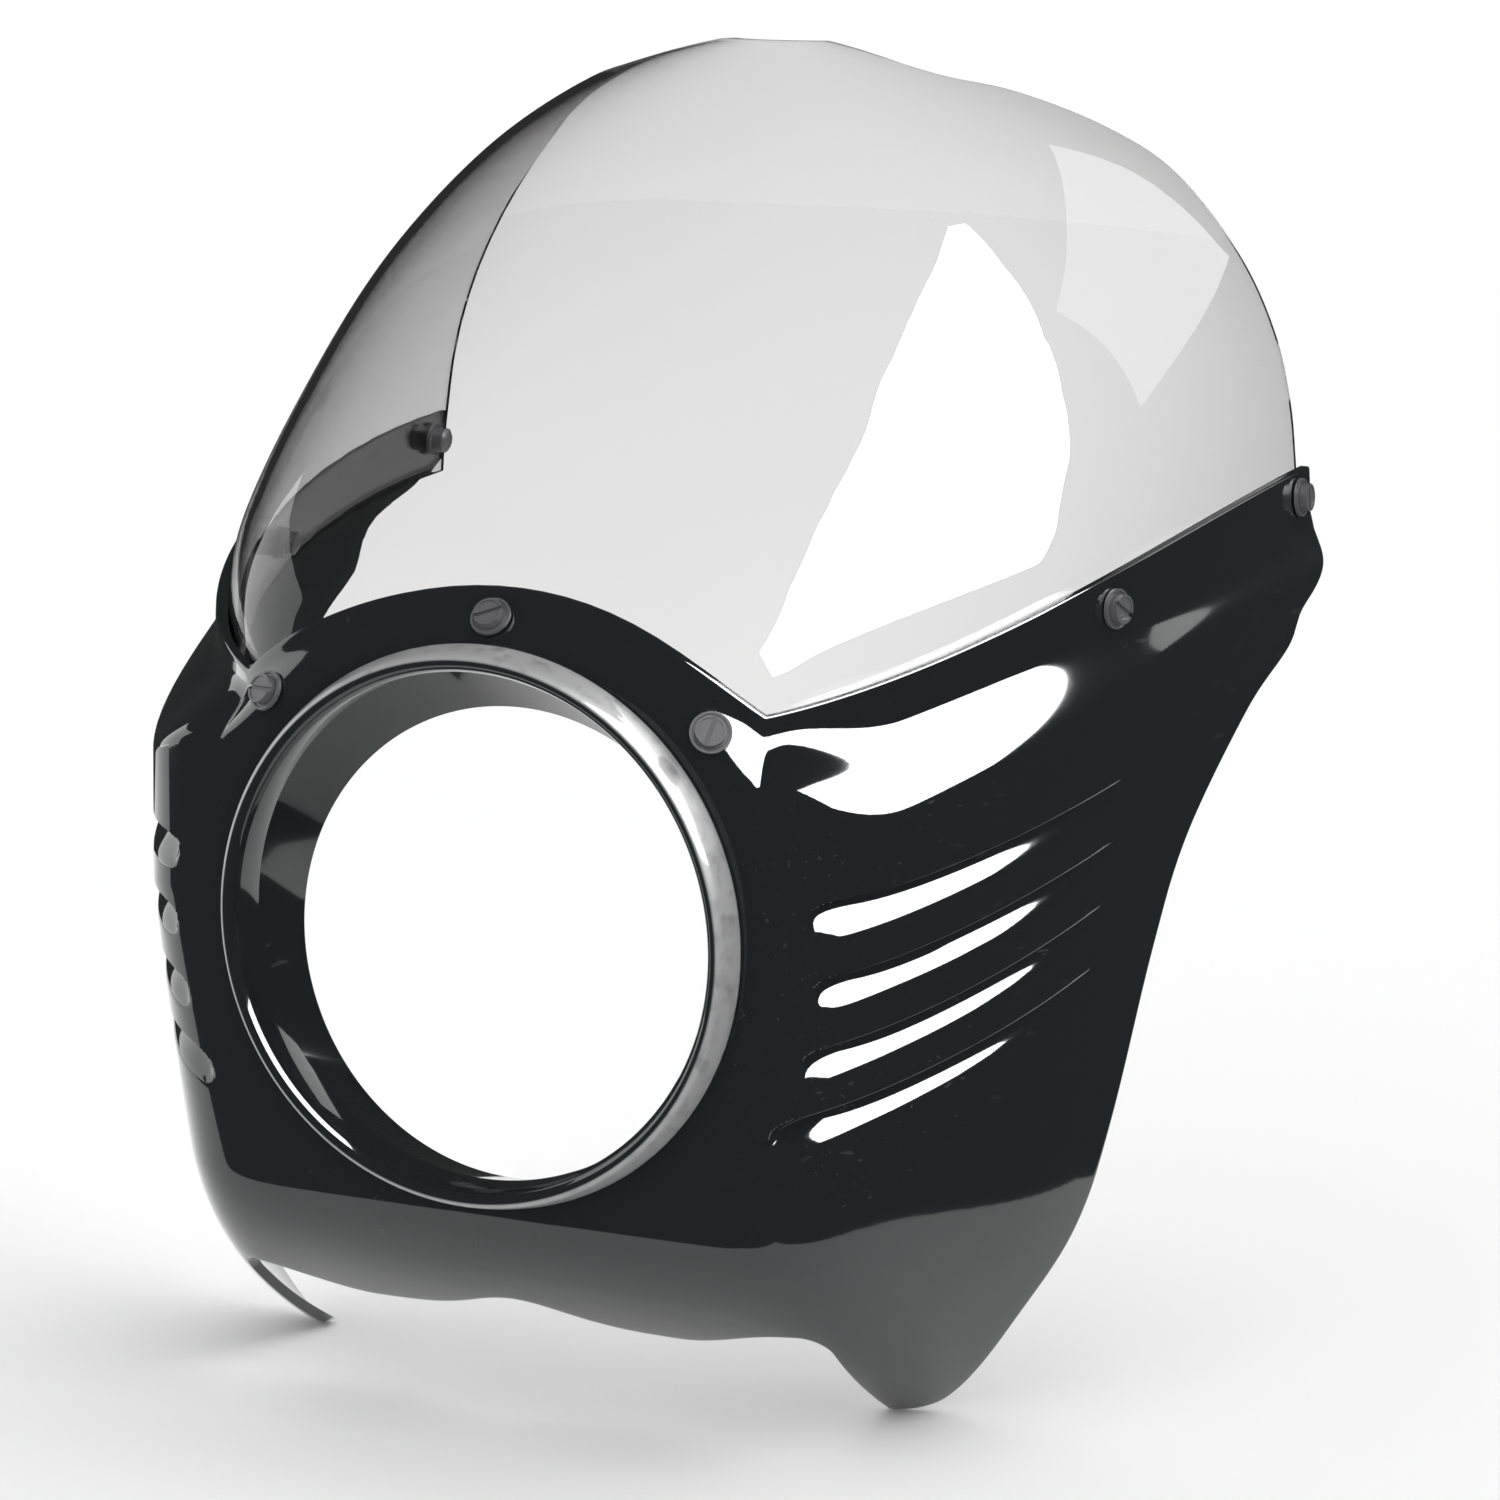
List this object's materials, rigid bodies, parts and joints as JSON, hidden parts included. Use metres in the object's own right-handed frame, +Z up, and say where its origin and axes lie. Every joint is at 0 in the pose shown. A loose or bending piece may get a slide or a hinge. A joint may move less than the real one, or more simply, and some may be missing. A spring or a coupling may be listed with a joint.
{
  "type": "motorcycle headlamp fairing",
  "caption": "Moulded motorcycle fairing shell around a round lamp opening, with gilled cheeks, pointed lower tips and a tinted clear windscreen fastened behind its upper edge.",
  "frame": {"origin": "centre of the lamp opening at the front end of its bore", "axes": "front towards -Y, along the lamp's axis; +Z up; +X to the right seen from the front"},
  "size_m": [0.4042, 0.3325, 0.4797],
  "materials": {
    "body_plastic": "gloss black moulded plastic",
    "screen_clear": "clear sheet with a light smoke tint",
    "dark_metal": "dark satin coating"
  },
  "bodies": {
    "root": {"fairing_body": "body_plastic", "windscreen": "screen_clear", "screen_screws": "dark_metal", "screen_washers": "dark_metal", "screen_nuts": "dark_metal"}
  },
  "joints": []
}
